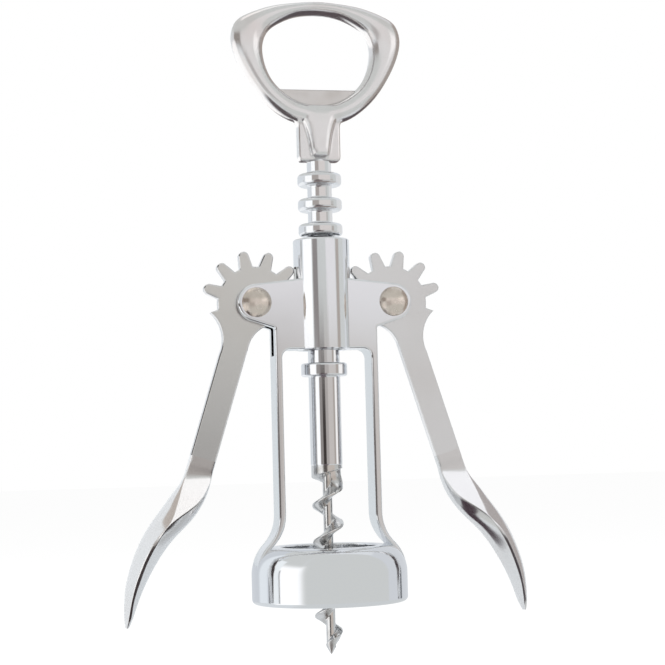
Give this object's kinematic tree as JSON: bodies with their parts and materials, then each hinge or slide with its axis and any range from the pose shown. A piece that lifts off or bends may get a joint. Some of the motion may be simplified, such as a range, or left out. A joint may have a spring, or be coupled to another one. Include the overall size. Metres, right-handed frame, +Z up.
{
  "type": "wing corkscrew",
  "caption": "Chrome wing corkscrew: bell frame with forked lugs, toothed levers meshed to a ringed rack, worm screw and a ring handle that opens crown caps.",
  "frame": {"origin": "centre of the bell's bottom rim, where a bottle's neck enters", "axes": "+Z up along the screw towards the ring handle, +X through the right lever's pivot, -Y towards the front"},
  "size_m": [0.1142, 0.0432, 0.1833],
  "materials": {
    "frame_chrome": "bright chrome plate on a cast frame",
    "lever_chrome": "satin chrome plate on flat castings, brighter on the grips",
    "rivet_steel": "warm nickel-plated rivet heads",
    "rack_chrome": "bright chrome plate",
    "screw_chrome": "bright chrome plate, dull in the worm's root",
    "handle_chrome": "soft polished chrome plate on a casting"
  },
  "bodies": {
    "frame": {"frame": "frame_chrome", "left_rivet": "rivet_steel", "right_rivet": "rivet_steel"},
    "rack": {"rack_sleeve": "rack_chrome"},
    "screw": {"screw": "screw_chrome", "handle": "handle_chrome"},
    "left_lever": {"left_lever": "lever_chrome"},
    "right_lever": {"right_lever": "lever_chrome"}
  },
  "joints": [
    {"name": "spindle_slide", "type": "slide", "parent": "frame", "child": "rack", "axis": [0, 0, 1], "range_m": [-0.032, 0.0035]},
    {"name": "handle_turn", "type": "hinge", "parent": "rack", "child": "screw", "pos_m": [0, 0, 0.1232], "axis": [0, 0, 1], "continuous": true},
    {"name": "left_pivot", "type": "hinge", "parent": "frame", "child": "left_lever", "pos_m": [-0.0195, 0, 0.0832], "axis": [0, 1, 0], "range_deg": [-15, 135.5]},
    {"name": "right_pivot", "type": "hinge", "parent": "frame", "child": "right_lever", "pos_m": [0.0195, 0, 0.0832], "axis": [0, -1, 0], "range_deg": [-15, 135.5]}
  ],
  "couplings": [
    {"joint": "left_pivot", "follows": "spindle_slide", "rad_per_m": -73.748},
    {"joint": "right_pivot", "follows": "spindle_slide", "rad_per_m": -73.748}
  ]
}
